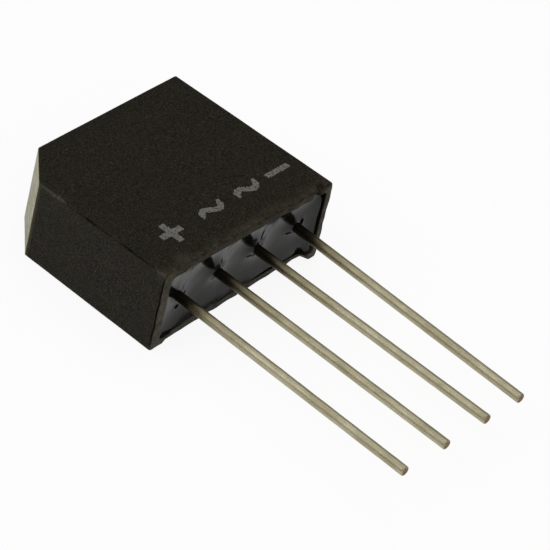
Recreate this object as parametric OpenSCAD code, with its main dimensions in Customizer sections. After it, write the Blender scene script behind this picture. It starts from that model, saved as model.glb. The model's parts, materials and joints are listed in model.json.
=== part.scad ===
// Single-phase bridge rectifier in a potted in-line case with four wire leads.
// It lies on its flat back: +Z is out of the marked face, +Y runs from the leads
// to the closed end, and +X runs from the positive lead to the negative one.

/* [Case] */
// Height of the case above its seating plane, along Y
body_h = 14.0; // [13.4:0.1:18]
// Thickness of the case at its open end, along Z
body_t = 6.3; // [5.8:0.1:8]
// Cut across the closed corner above the positive lead
corner_cut = 2.7; // [1.5:0.1:4]
// Room between the outermost pads of the circuit and the end walls
end_room = 0.335; // [0.25:0.005:2]
// Taper of each end wall, as width lost from the open end to the closed one
taper_w = 0.13; // [0.02:0.01:0.25]
// Taper of the front face, as thickness lost from the open end to the closed one
taper_t = 0.35; // [0.1:0.05:0.5]
// Thickness of the two end walls
end_wall_t = 0.75; // [0.5:0.05:1]
// Thickness of the front and back walls
long_wall_t = 0.6; // [0.45:0.05:0.9]
// Thickness of the closed end
roof_t = 0.7; // [0.5:0.05:1]
// Rounding of the outer edges
edge_r = 0.15; // [0.15:0.05:0.35]
// Rounding of the long inside corners of the pocket
pocket_r = 0.5; // [0.5:0.1:1.4]
// Width of the foot at the positive end, which stands out past the long walls
plus_foot_w = 1.0; // [0.6:0.05:1.4]
// Width of the foot at the negative end
minus_foot_w = 0.6; // [0.6:0.05:1.4]
// How far the feet stand out past the front wall's rim
front_step_h = 0.1; // [0.05:0.05:0.3]
// How far the positive foot stands out past the back wall's rim
back_step_plus_h = 0.15; // [0.1:0.05:0.45]
// How far the negative foot stands out past the back wall's rim
back_step_minus_h = 0.6; // [0.1:0.05:0.6]
// Depth of the nick in the front wall's rim beside the negative foot
nick_h = 0.5; // [0.35:0.05:0.5]
// Width of that nick
nick_w = 0.9; // [0.4:0.1:1.2]

/* [Potting] */
// Level of the epoxy below the seating plane
potting_recess = 0.85; // [0.75:0.05:1]
// Radius of the meniscus that climbs the walls
meniscus_r = 0.25; // [0.2:0.05:0.4]
// Radius of the collar that climbs each lead
collar_r = 0.5; // [0.3:0.05:0.55]
// Thickness of the epoxy where a meniscus ends on a wall or lead
feather_t = 0.05; // [0.03:0.01:0.08]
// Dip of a collar's arc under the epoxy's level, so that the two meet at an edge
collar_dip_h = 0.02; // [0.01:0.01:0.05]

/* [Leads] */
// Distance between neighbouring leads
lead_pitch = 3.81; // [3.6:0.01:4.2]
// Diameter of the lead wire
lead_d = 0.7; // [0.6:0.05:0.8]
// Length of the leads below the seating plane
lead_free = 19.3; // [5:0.1:26]
// Chamfer of the cut lead ends
lead_end_chamfer = 0.06; // [0.02:0.01:0.1]
// Lean of the positive lead, in degrees towards it from the others
lean_plus = 1.1; // [0:0.1:2]
// Lean of the first AC lead
lean_ac_1 = 0.5; // [0:0.1:2]
// Lean of the second AC lead
lean_ac_2 = 0.1; // [0:0.1:2]
// Lean of the negative lead
lean_minus = 1.5; // [0:0.1:2]
// Shift of the row of leads towards the negative end
lead_row_shift = 0.15; // [0:0.05:0.2]

/* [Circuit] */
// Thickness of the coined inner end of each lead
strip_t = 0.4; // [0.3:0.05:0.5]
// Width of the coined strip between its pads
strip_w = 1.0; // [0.9:0.05:1.4]
// Depth of the epoxy over the place where the wire ends and its coined strip begins
wire_cover_h = 0.05; // [0.03:0.01:0.07]
// Length of the taper from the wire to the strip
neck_l = 0.4; // [0.3:0.1:0.8]
// Step in from the wire to the wide end of that taper
neck_inset_w = 0.03; // [0.02:0.01:0.05]
// Width of the pads that carry the diode dies
pad_w = 2.4; // [2.3:0.1:2.8]
// Length of the pads, along the lead
pad_l = 2.6; // [2.4:0.1:3]
// Rounding of the pads' corners
pad_r = 0.5; // [0.2:0.1:1]
// Side of each square diode die
die_w = 2.0; // [1.4:0.1:2.1]
// Thickness of each diode die
die_t = 0.28; // [0.2:0.02:0.4]
// Thickness of a solder joint
solder_t = 0.06; // [0.04:0.01:0.1]
// Width of solder that shows past the die on each side
solder_edge_w = 0.08; // [0.02:0.02:0.1]
// Thickness of the two busbars
bar_t = 0.4; // [0.3:0.05:0.5]
// Width of the busbars
bar_w = 2.2; // [2.2:0.1:2.4]
// Length of the sloping step between a busbar's foot and its straight run
joggle_l = 0.7; // [0.5:0.1:1.2]
// Distance of the lower row of dies from the seating plane
lower_row = 5.4; // [4.5:0.1:5.8]
// Distance between the two rows of dies
row_pitch = 4.0; // [3.4:0.1:4.4]

/* [Hidden] */
// The case is as wide as the circuit in it
body_w = 3 * lead_pitch + pad_w + 2 * (end_room + end_wall_t);
// Seating plane, where the end walls meet a board, and the closed end
seat_y = -body_h / 2;
top_y = body_h / 2;
// Room by which a cutting shape runs past what it cuts
past = 1;
// Where the two feet end and the long walls' rims begin
plus_rim_x = plus_foot_w - body_w / 2;
minus_rim_x = body_w / 2 - minus_foot_w;
// Level of the epoxy, and the height that its meniscus reaches on the walls
level_y = seat_y + potting_recess;
rise_y = level_y - meniscus_r;
// Lead places, from the positive lead to the negative one, at half the case's thickness
plus_x = lead_row_shift - 1.5 * lead_pitch;
ac_1_x = plus_x + lead_pitch;
ac_2_x = ac_1_x + lead_pitch;
minus_x = ac_2_x + lead_pitch;
lead_z = body_t / 2;
tip_y = seat_y - lead_free;
// Where each round wire ends and its coined strip begins
wire_y = level_y + wire_cover_h;
// Rows of dies, and the heights of the pieces stacked on a lead's strip
lower_y = seat_y + lower_row;
upper_y = lower_y + row_pitch;
strip_top_z = lead_z + strip_t / 2;
die_z = strip_top_z + solder_t;
bar_solder_z = die_z + die_t;
bar_z = bar_solder_z + solder_t;
solder_w = die_w + 2 * solder_edge_w;
case_black = [0.16, 0.15, 0.14];
epoxy_black = [0.07, 0.07, 0.07];
tin = [0.66, 0.63, 0.54];
copper = [0.72, 0.43, 0.26];
silicon = [0.35, 0.37, 0.42];
solder_grey = [0.62, 0.63, 0.65];
$fn = 48;

// ---- Case ----

// Half the width of the case at a height y, less an inset
function half_w(y, inset) = body_w / 2 - inset - taper_w * (y - seat_y) / body_h;

// Height of the front face at a height y, less an inset
function front_z(y, inset) = body_t - inset - taper_t * (y - seat_y) / body_h;

// Outline of the marked face, inset at its sides and its closed end, starting at start_y
function face_outline(side, top, start_y) =
    let (
        far_y = top_y - top,
        cut = corner_cut - (side + top) * (1 - sqrt(0.5)),
        cut_y = far_y - cut
    )
    [
        [-half_w(start_y, side), start_y],
        [half_w(start_y, side), start_y],
        [half_w(far_y, side), far_y],
        [cut - half_w(far_y, side), far_y],
        [-half_w(cut_y, side), cut_y]
    ];

// The case's outside, with every edge rounded
module outer_form() {
    hull()
        for (p = face_outline(edge_r, edge_r, seat_y + edge_r), z = [edge_r, front_z(p[1], edge_r)])
            translate([p[0], p[1], z])
                sphere(r = edge_r, $fn = 24);
}

// A centred rectangle with rounded corners
module rounded_rectangle(w, h, r) {
    square([w - 2 * r, h], center = true);
    square([w, h - 2 * r], center = true);
    for (sx = [-1, 1], sy = [-1, 1])
        translate([sx * (w / 2 - r), sy * (h / 2 - r)])
            circle(r = r);
}

// The pocket inside the case, which the potting fills: three drafted outlines, intersected
module pocket() {
    start_y = seat_y - past;
    mouth_z = front_z(seat_y, long_wall_t);
    intersection() {
        linear_extrude(body_t)
            polygon(face_outline(end_wall_t, roof_t, start_y));
        rotate([90, 0, 90])
            translate([0, 0, -body_w / 2])
                linear_extrude(body_w)
                    polygon([
                        [start_y, long_wall_t],
                        [top_y, long_wall_t],
                        [top_y, front_z(top_y, long_wall_t)],
                        [start_y, front_z(start_y, long_wall_t)]
                    ]);
        translate([0, top_y, (mouth_z + long_wall_t) / 2])
            rotate([90, 0, 0])
                linear_extrude(top_y - start_y)
                    rounded_rectangle(
                        2 * half_w(seat_y, end_wall_t), mouth_z - long_wall_t, pocket_r);
    }
}

// What is cut from a long wall's rim between the feet, by a depth at each foot
module rim_cut(plus_h, minus_h) {
    polygon([
        [plus_rim_x - past, seat_y - past],
        [minus_rim_x + past, seat_y - past],
        [minus_rim_x - minus_h, seat_y + minus_h],
        [plus_rim_x + plus_h, seat_y + plus_h]
    ]);
}

// The nick in the front wall's rim beside the negative foot
module nick() {
    polygon([
        [minus_rim_x - nick_w, seat_y - past],
        [minus_rim_x, seat_y - past],
        [minus_rim_x, seat_y + nick_h],
        [minus_rim_x - nick_w / 2, seat_y + nick_h],
        [minus_rim_x - nick_w, seat_y + front_step_h]
    ]);
}

module case_shell() {
    color(case_black)
        difference() {
            outer_form();
            pocket();
            translate([0, 0, -past])
                linear_extrude(past + body_t / 2)
                    rim_cut(back_step_plus_h, back_step_minus_h);
            translate([0, 0, body_t / 2])
                linear_extrude(past + body_t / 2) {
                    rim_cut(front_step_h, front_step_h);
                    nick();
                }
        }
}

// ---- Potting ----

// Section through the hollow over the epoxy, as wide as w at its mouth, with the
// meniscus as a round at each side; y runs down from the height that it reaches
module dish_section(w) {
    translate([-w / 2, -past])
        square([w, past]);
    translate([meniscus_r - w / 2, 0])
        square([w - 2 * meniscus_r, meniscus_r]);
    for (side = [-1, 1])
        translate([side * (w / 2 - meniscus_r), 0])
            circle(r = meniscus_r);
}

// A round dish of radius r, for the corners of the hollow
module dish_corner(r) {
    rotate_extrude()
        intersection() {
            translate([0, -past])
                square([r, past + meniscus_r]);
            dish_section(2 * r);
        }
}

// The hollow over the epoxy: dished along the four walls and round the pocket's corners
module dish() {
    w = 2 * (half_w(rise_y, end_wall_t) - feather_t);
    h = front_z(rise_y, long_wall_t) - long_wall_t - 2 * feather_t;
    r = pocket_r - feather_t;
    translate([0, rise_y, long_wall_t + feather_t + h / 2])
        rotate([-90, 0, 0]) {
            rotate([90, 0, 90])
                translate([0, 0, r - w / 2])
                    linear_extrude(w - 2 * r)
                        dish_section(h);
            rotate([90, 0, 0])
                translate([0, 0, r - h / 2])
                    linear_extrude(h - 2 * r)
                        dish_section(w);
            for (sx = [-1, 1], sz = [-1, 1])
                translate([sx * (w / 2 - r), sz * (h / 2 - r), 0])
                    dish_corner(r);
        }
}

// The epoxy that climbs a lead at x: a ring under a concave arc
module collar(x) {
    foot_r = lead_d / 2 + feather_t;
    translate([x, level_y, lead_z])
        rotate([90, 0, 0])
            rotate_extrude()
                difference() {
                    square([foot_r + collar_r, collar_r - collar_dip_h]);
                    translate([foot_r + collar_r, collar_r - collar_dip_h])
                        circle(r = collar_r);
                }
}

module potting_compound() {
    color(epoxy_black)
        difference() {
            pocket();
            translate([-body_w / 2, rise_y - body_h, 0])
                cube([body_w, body_h, body_t]);
            difference() {
                dish();
                for (x = [plus_x, ac_1_x, ac_2_x, minus_x])
                    collar(x);
            }
            circuit();
        }
}

// ---- Leads ----

// A lead at x: round wire outside, leaning as it was bent, and coined flat inside
// into a strip with a pad at each of the heights in pads
module lead(x, lean, pads) {
    wire_l = (wire_y - tip_y) / cos(lean);
    translate([x, wire_y, lead_z]) {
        rotate([90, 0, -lean]) {
            cylinder(h = wire_l - lead_end_chamfer, d = lead_d);
            translate([0, 0, wire_l - lead_end_chamfer])
                cylinder(h = lead_end_chamfer, d1 = lead_d, d2 = lead_d - 2 * lead_end_chamfer);
        }
        translate([0, -wire_cover_h / 2, 0])
            rotate([-90, 0, 0])
                cylinder(h = neck_l, d1 = lead_d - 2 * neck_inset_w, d2 = strip_t);
    }
    translate([x, 0, lead_z - strip_t / 2])
        linear_extrude(strip_t) {
            translate([-strip_w / 2, wire_y])
                square([strip_w, max(pads) - wire_y]);
            for (y = pads)
                translate([0, y])
                    rounded_rectangle(pad_w, pad_l, pad_r);
        }
}

module lead_plus() {
    color(tin)
        lead(plus_x, lean_plus, [upper_y]);
}

module lead_ac_1() {
    color(tin)
        lead(ac_1_x, lean_ac_1, [lower_y, upper_y]);
}

module lead_ac_2() {
    color(tin)
        lead(ac_2_x, lean_ac_2, [lower_y, upper_y]);
}

module lead_minus() {
    color(tin)
        lead(minus_x, lean_minus, [lower_y]);
}

// ---- Circuit ----

// A busbar at a height y: its foot lies on the lead at foot_x, and a step lifts the
// rest of it over the dies, which lie from foot_x towards dir
module busbar(foot_x, dir, y) {
    end = bar_w / 2;
    foot_z = die_z;
    run = 2 * lead_pitch + end;
    translate([foot_x, y + bar_w / 2, 0])
        mirror([dir < 0 ? 1 : 0, 0, 0])
            rotate([90, 0, 0])
                linear_extrude(bar_w)
                    polygon([
                        [-end, foot_z],
                        [end, foot_z],
                        [end + joggle_l, bar_z],
                        [run, bar_z],
                        [run, bar_z + bar_t],
                        [end + joggle_l, bar_z + bar_t],
                        [end, foot_z + bar_t],
                        [-end, foot_z + bar_t]
                    ]);
}

// A square plate centred over a place on a lead: a die or a solder joint
module plate(x, y, z, w, t) {
    translate([x - w / 2, y - w / 2, z])
        cube([w, w, t]);
}

module die(x, y) {
    color(silicon)
        plate(x, y, die_z, die_w, die_t);
}

module solder(x, y, z) {
    color(solder_grey)
        plate(x, y, z, solder_w, solder_t);
}

module busbar_plus() {
    color(copper)
        busbar(plus_x, 1, upper_y);
}

module busbar_minus() {
    color(copper)
        busbar(minus_x, -1, lower_y);
}

// The four dies: the two of the upper row feed the positive busbar
module die_plus_1() {
    die(ac_1_x, upper_y);
}

module die_plus_2() {
    die(ac_2_x, upper_y);
}

module die_minus_1() {
    die(ac_1_x, lower_y);
}

module die_minus_2() {
    die(ac_2_x, lower_y);
}

// The solder between each die and its lead
module solder_plus_1_lead() {
    solder(ac_1_x, upper_y, strip_top_z);
}

module solder_plus_2_lead() {
    solder(ac_2_x, upper_y, strip_top_z);
}

module solder_minus_1_lead() {
    solder(ac_1_x, lower_y, strip_top_z);
}

module solder_minus_2_lead() {
    solder(ac_2_x, lower_y, strip_top_z);
}

// The solder between each die and its busbar
module solder_plus_1_bar() {
    solder(ac_1_x, upper_y, bar_solder_z);
}

module solder_plus_2_bar() {
    solder(ac_2_x, upper_y, bar_solder_z);
}

module solder_minus_1_bar() {
    solder(ac_1_x, lower_y, bar_solder_z);
}

module solder_minus_2_bar() {
    solder(ac_2_x, lower_y, bar_solder_z);
}

// The solder between each busbar's foot and its own lead
module solder_bar_plus() {
    solder(plus_x, upper_y, strip_top_z);
}

module solder_bar_minus() {
    solder(minus_x, lower_y, strip_top_z);
}

// Everything that the potting is cast round
module circuit() {
    lead_plus();
    lead_ac_1();
    lead_ac_2();
    lead_minus();
    busbar_plus();
    busbar_minus();
    die_plus_1();
    die_plus_2();
    die_minus_1();
    die_minus_2();
    solder_plus_1_lead();
    solder_plus_2_lead();
    solder_minus_1_lead();
    solder_minus_2_lead();
    solder_plus_1_bar();
    solder_plus_2_bar();
    solder_minus_1_bar();
    solder_minus_2_bar();
    solder_bar_plus();
    solder_bar_minus();
}

case_shell();
potting_compound();
lead_plus();
lead_ac_1();
lead_ac_2();
lead_minus();
busbar_plus();
busbar_minus();
die_plus_1();
die_plus_2();
die_minus_1();
die_minus_2();
solder_plus_1_lead();
solder_plus_2_lead();
solder_minus_1_lead();
solder_minus_2_lead();
solder_plus_1_bar();
solder_plus_2_bar();
solder_minus_1_bar();
solder_minus_2_bar();
solder_bar_plus();
solder_bar_minus();
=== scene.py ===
"""Looks of a potted in-line bridge rectifier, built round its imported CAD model.

Shapes are worked out in millimetres in the CAD's own frame: +Z is out of the marked face, +Y runs from
the leads to the closed end. They become metres where the meshes are made.
"""

import json
import math

import bmesh
import bpy
import numpy as np
from mathutils import Matrix, Vector


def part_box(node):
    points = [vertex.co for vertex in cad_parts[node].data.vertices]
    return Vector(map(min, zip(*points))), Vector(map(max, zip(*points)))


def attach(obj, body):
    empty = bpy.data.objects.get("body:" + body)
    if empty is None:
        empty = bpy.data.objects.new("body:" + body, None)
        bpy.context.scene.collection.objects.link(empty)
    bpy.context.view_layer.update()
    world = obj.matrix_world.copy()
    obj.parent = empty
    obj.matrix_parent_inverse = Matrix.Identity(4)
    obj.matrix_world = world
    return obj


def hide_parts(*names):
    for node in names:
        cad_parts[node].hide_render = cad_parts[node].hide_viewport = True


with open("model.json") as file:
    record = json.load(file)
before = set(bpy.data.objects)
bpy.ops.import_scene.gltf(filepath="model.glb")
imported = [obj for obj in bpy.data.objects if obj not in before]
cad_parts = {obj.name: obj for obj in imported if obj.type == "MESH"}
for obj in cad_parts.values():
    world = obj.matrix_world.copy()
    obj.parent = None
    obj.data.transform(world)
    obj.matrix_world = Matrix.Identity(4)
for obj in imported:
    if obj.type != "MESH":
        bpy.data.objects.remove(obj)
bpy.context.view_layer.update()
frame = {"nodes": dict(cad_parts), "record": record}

MM = 0.001
SEED = 7


def box_mm(node):
    """Lowest and highest corner of a CAD node, in millimetres."""
    return [np.array(corner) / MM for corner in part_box(node)]


# ---- Sizes from the frame ----

CASE_LOW, CASE_HIGH = box_mm("case_shell")
POTTING_LOW, POTTING_HIGH = box_mm("potting_compound")
SEAT_Y = CASE_LOW[1]
TOP_Y = CASE_HIGH[1]
BODY_H = TOP_Y - SEAT_Y
BODY_T = CASE_HIGH[2]
HALF_W = CASE_HIGH[0]
END_WALL = HALF_W - POTTING_HIGH[0]
LONG_WALL = POTTING_LOW[2]
ROOF = TOP_Y - POTTING_HIGH[1]
LEADS = ("lead_plus", "lead_ac_1", "lead_ac_2", "lead_minus")
PINS = {m["name"]: m for m in frame["record"]["mounts"] if m["kind"] == "pin"}
LEAD_R = PINS["pin_plus"]["dims"]["r_mm"]

# ---- Sizes that the boxes don't tell, as in the CAD ----

CORNER_CUT = 2.7
TAPER_W = 0.13
TAPER_T = 0.35
PLUS_FOOT_W = 1.0
MINUS_FOOT_W = 0.6
FRONT_STEP = 0.1
BACK_STEP_PLUS = 0.15
BACK_STEP_MINUS = 0.6
NICK_H = 0.5
NICK_W = 0.9
POTTING_RECESS = 0.85
LEVEL_Y = SEAT_Y + POTTING_RECESS
WIRE_COVER = 0.05
STRIP_T = 0.4
STRIP_W = 1.0
PAD_L = 2.6
PAD_W = 2.4
PAD_R = 0.5
CORNER_SQUEEZE = 1 - math.sqrt(0.5)
POCKET_CUT_Y = TOP_Y - ROOF - CORNER_CUT + (END_WALL + ROOF) * CORNER_SQUEEZE


# ---- Helpers: numbers ----

def smooth_step(low, high, value):
    t = np.clip((value - low) / (high - low), 0, 1)
    return t * t * (3 - 2 * t)


def ripple(points, wavelength, seed, waves=14):
    """A smooth random field of about -1 to 1 over points, from seeded plane waves."""
    rng = np.random.default_rng(SEED + seed)
    points = np.asarray(points, float)
    field = np.zeros(points.shape[:-1])
    for _ in range(waves):
        direction = rng.normal(size=points.shape[-1])
        direction /= np.linalg.norm(direction)
        length = wavelength * rng.uniform(0.6, 1.6)
        field += np.sin(points @ direction * 2 * math.pi / length + rng.uniform(0, 2 * math.pi))
    return field * math.sqrt(2 / waves) / 2


def half_w(y, inset=0.0):
    return HALF_W - inset - TAPER_W * (y - SEAT_Y) / BODY_H


def front_z(y, inset=0.0):
    return BODY_T - inset - TAPER_T * (y - SEAT_Y) / BODY_H


# ---- Helpers: meshes ----

class Surface:
    """Patches of quads that share their border points, gathered into one mesh."""

    def __init__(self):
        self.points = []
        self.faces = []
        self.slots = []
        self.count = 0

    def patch(self, grid, closed=False, slot=0):
        """Adds a grid of points, rows by columns; closed joins its last column to its first."""
        grid = np.asarray(grid, float)
        rows, columns = grid.shape[:2]
        index = self.count + np.arange(rows * columns).reshape(rows, columns)
        if closed:
            index = np.concatenate([index, index[:, :1]], axis=1)
        quads = np.stack([index[:-1, :-1], index[:-1, 1:], index[1:, 1:], index[1:, :-1]], -1)
        quads = quads.reshape(-1, 4)
        self.points.append(grid.reshape(-1, 3))
        self.faces += quads.tolist()
        self.slots += [slot] * len(quads)
        self.count += rows * columns

    def cap(self, ring, slot=0):
        """Closes a ring of points with one flat face."""
        ring = np.asarray(ring, float)
        self.points.append(ring)
        self.faces.append(list(range(self.count, self.count + len(ring))))
        self.slots.append(slot)
        self.count += len(ring)

    def build(self, name, materials, replaced=(), fields=None):
        """Makes the piece, in metres, with its finish, and lets it ride on the CAD."""
        mesh = bpy.data.meshes.new(name)
        mesh.from_pydata((np.concatenate(self.points) * MM).tolist(), [], self.faces)
        for material in materials:
            mesh.materials.append(material)
        mesh.polygons.foreach_set("material_index", self.slots)
        work = bmesh.new()
        work.from_mesh(mesh)
        bmesh.ops.remove_doubles(work, verts=work.verts, dist=2e-4 * MM)
        bmesh.ops.dissolve_degenerate(work, edges=work.edges, dist=1e-4 * MM)
        bmesh.ops.recalc_face_normals(work, faces=work.faces)
        work.to_mesh(mesh)
        work.free()
        mesh.polygons.foreach_set("use_smooth", [True] * len(mesh.polygons))
        piece = bpy.data.objects.new(name, mesh)
        bpy.context.scene.collection.objects.link(piece)
        for field, values_of in (fields or {}).items():
            places = np.empty(len(mesh.vertices) * 3)
            mesh.vertices.foreach_get("co", places)
            values = values_of(places.reshape(-1, 3) / MM).astype(np.float32)
            mesh.attributes.new(field, "FLOAT", "POINT").data.foreach_set("value", values)
        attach(piece, "root")
        if replaced:
            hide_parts(*replaced)
        return piece


# ---- Helpers: materials ----

class Finish:
    """A node material with short ways to add textures and join them."""

    def __init__(self, name):
        self.material = bpy.data.materials.new(name)
        self.material.use_nodes = True
        self.nodes = self.material.node_tree.nodes
        self.links = self.material.node_tree.links
        self.nodes.clear()
        self.output = self.nodes.new("ShaderNodeOutputMaterial")
        self.place = self.nodes.new("ShaderNodeTexCoord").outputs["Object"]

    def shader(self, **inputs):
        node = self.nodes.new("ShaderNodeBsdfPrincipled")
        self.fill(node, inputs)
        self.links.new(node.outputs[0], self.output.inputs["Surface"])
        return node

    def fill(self, node, inputs):
        for name, value in inputs.items():
            socket = node.inputs[name.replace("_", " ")]
            if isinstance(value, bpy.types.NodeSocket):
                self.links.new(value, socket)
            else:
                socket.default_value = value

    def stretched(self, x=1.0, y=1.0, z=1.0):
        node = self.nodes.new("ShaderNodeMapping")
        node.inputs["Scale"].default_value = (x, y, z)
        self.links.new(self.place, node.inputs["Vector"])
        return node.outputs[0]

    def noise(self, grain_mm, detail=3.0, roughness=0.55, place=None, distortion=0.0):
        node = self.nodes.new("ShaderNodeTexNoise")
        node.inputs["Scale"].default_value = 1 / (grain_mm * MM)
        node.inputs["Detail"].default_value = detail
        node.inputs["Roughness"].default_value = roughness
        node.inputs["Distortion"].default_value = distortion
        self.links.new(place or self.place, node.inputs["Vector"])
        return node.outputs["Fac"]

    def cells(self, grain_mm, place=None, feature="F1", output="Distance"):
        node = self.nodes.new("ShaderNodeTexVoronoi")
        node.feature = feature
        node.inputs["Scale"].default_value = 1 / (grain_mm * MM)
        self.links.new(place or self.place, node.inputs["Vector"])
        return node.outputs[output]

    def ramp(self, value, *stops):
        """Colours or numbers along a value: each stop is (position, colour or number)."""
        node = self.nodes.new("ShaderNodeValToRGB")
        while len(node.color_ramp.elements) < len(stops):
            node.color_ramp.elements.new(0.5)
        for element, (position, colour) in zip(node.color_ramp.elements, stops):
            if isinstance(colour, (int, float)):
                colour = (colour, colour, colour)
            element.position = position
            element.color = (*colour, 1)
        self.links.new(value, node.inputs["Fac"])
        return node.outputs["Color"]

    def mix(self, factor, first, second, blend="MIX"):
        node = self.nodes.new("ShaderNodeMix")
        node.data_type = "RGBA"
        node.blend_type = blend
        for socket, value in ((node.inputs[0], factor), (node.inputs[6], first), (node.inputs[7], second)):
            if isinstance(value, bpy.types.NodeSocket):
                self.links.new(value, socket)
            elif isinstance(value, (int, float)):
                socket.default_value = value
            else:
                socket.default_value = (*value, 1)
        return node.outputs[2]

    def math(self, operation, first, second=0.0):
        node = self.nodes.new("ShaderNodeMath")
        node.operation = operation
        for socket, value in zip(node.inputs, (first, second)):
            if isinstance(value, bpy.types.NodeSocket):
                self.links.new(value, socket)
            else:
                socket.default_value = value
        return node.outputs[0]

    def attribute(self, name):
        node = self.nodes.new("ShaderNodeAttribute")
        node.attribute_name = name
        return node.outputs["Fac"]

    def axis(self, name):
        """One coordinate of the place on the part, in metres."""
        node = self.nodes.new("ShaderNodeSeparateXYZ")
        self.links.new(self.place, node.inputs[0])
        return node.outputs[name]

    def bump(self, height, depth_mm, strength=1.0, under=None):
        node = self.nodes.new("ShaderNodeBump")
        self.fill(node, {"Strength": strength, "Distance": depth_mm * MM, "Height": height})
        if under:
            self.links.new(under, node.inputs["Normal"])
        return node.outputs[0]


# ---- Materials ----

def case_plastic():
    """Moulded black plastic: fine grain, brown smudges by the rim, pale wear with a painted highlight on
    the left edge, painted light on the end and back rims, painted shade in the rims' groove and the pocket,
    a smooth cut corner.
    """
    f = Finish("case_plastic")
    cloud = f.ramp(f.noise(2.2, 4, 0.6), (0.35, 0.0), (0.65, 1.0))
    base = f.mix(cloud, (0.0048, 0.0043, 0.0026), (0.0080, 0.0064, 0.0040))
    fine, reddish, greenish = f.noise(0.07, 2, 0.6), f.noise(0.13, 1, 0.5), f.noise(0.16, 1, 0.5)
    base = f.mix(f.ramp(reddish, (0.5, 0.0), (0.68, 0.9)), base, (0.0300, 0.0160, 0.0105))
    base = f.mix(f.ramp(greenish, (0.52, 0.0), (0.70, 0.8)), base, (0.0070, 0.0150, 0.0060))
    base = f.mix(f.ramp(fine, (0.54, 0.0), (0.68, 1.0)), base, (0.056, 0.050, 0.036))
    mottle = f.ramp(f.noise(0.4, 5, 0.7), (0.38, 0.0), (0.62, 1.0))
    # Brown smudges on the marked face by its rim; on the end walls' rims the same brown is painted light,
    # standing for their lit faces.
    brown = f.math("MULTIPLY", f.attribute("smudge_and_rim_light"), mottle)
    base = f.mix(brown, base, (0.058, 0.047, 0.031))
    # Painted highlight: the rims of the end walls and the back are lightened, with a mottle, where their
    # faces catch the light.
    painted_rim_light = f.math("MULTIPLY", f.attribute("painted_rim_light"), f.ramp(f.noise(0.16, 4, 0.7), (0.35, 0.25), (0.6, 0.9)))
    base = f.mix(painted_rim_light, base, (0.10, 0.092, 0.064))
    dust = f.ramp(f.cells(1.3), (0.0, 1.0), (0.05, 0.0))
    base = f.mix(f.math("MULTIPLY", dust, 0.8), base, (0.16, 0.15, 0.13))
    # Pale wear on the left edge, and a painted highlight along it where the rounded edge catches the light.
    edge_wear_and_light = f.math("MULTIPLY", f.attribute("edge"), f.ramp(f.noise(0.22, 4, 0.7), (0.35, 0.2), (0.6, 1.0)))
    base = f.mix(edge_wear_and_light, base, (0.085, 0.080, 0.065))
    # Painted shade: near black in the groove round the end walls' rims and on the pocket's bare walls, and
    # a dark line along the left edge; these parts also lose their sheen.
    base = f.mix(f.attribute("painted_shade_and_seam"), base, (0.0012, 0.0012, 0.0008))
    polish = f.attribute("polish")
    blotch = f.ramp(f.noise(0.5, 4, 0.6), (0.3, 0.20), (0.7, 0.34))
    rough = f.mix(polish, f.ramp(f.noise(0.4, 3, 0.6), (0.3, 0.5), (0.7, 0.68)), blotch)
    firm = f.math("SUBTRACT", 0.5, f.math("MULTIPLY", polish, 0.4))
    grain = f.bump(f.noise(0.045, 3, 0.7), 0.014, firm)
    base = f.mix(polish, base, f.mix(f.noise(0.3, 4, 0.7), (0.012, 0.012, 0.006), (0.085, 0.082, 0.046)))
    sheen = f.ramp(f.noise(0.11, 3, 0.7), (0.34, 0.08), (0.64, 0.38))
    sheen = f.math("MULTIPLY", f.math("SUBTRACT", 1.0, f.attribute("painted_shade_and_seam")), sheen)
    warm = (1.0, 0.97, 0.78, 1)
    f.shader(Base_Color=base, Metallic=polish, Roughness=rough, IOR=1.36, Specular_IOR_Level=sheen,
             Specular_Tint=warm, Normal=grain)
    return f.material


def potting_epoxy():
    """Glossy black casting epoxy with a faint haze and dust, and painted shade in its open bubbles."""
    f = Finish("potting_epoxy")
    base = f.mix(f.noise(0.8, 3), (0.0035, 0.0035, 0.0028), (0.009, 0.0082, 0.006))
    dust = f.ramp(f.noise(0.07, 2, 0.7), (0.68, 0.0), (0.8, 1.0))
    base = f.mix(f.math("MULTIPLY", dust, 0.5), base, (0.06, 0.055, 0.045))
    rough = f.ramp(f.noise(0.5, 4, 0.6), (0.35, 0.14), (0.7, 0.24))
    # Painted shade: the open bubbles are made near black and lose their reflection.
    base = f.mix(f.attribute("pit_shade"), base, (0.001, 0.001, 0.0008))
    gloss = f.math("MULTIPLY", f.math("SUBTRACT", 1.0, f.attribute("pit_shade")), 0.5)
    swell = f.bump(f.noise(0.9, 2, 0.4), 0.03, 0.2)
    grain = f.bump(f.noise(0.06, 2, 0.6), 0.004, 0.4, swell)
    f.shader(Base_Color=base, Roughness=rough, IOR=1.38, Specular_IOR_Level=gloss, Normal=grain)
    return f.material


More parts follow.
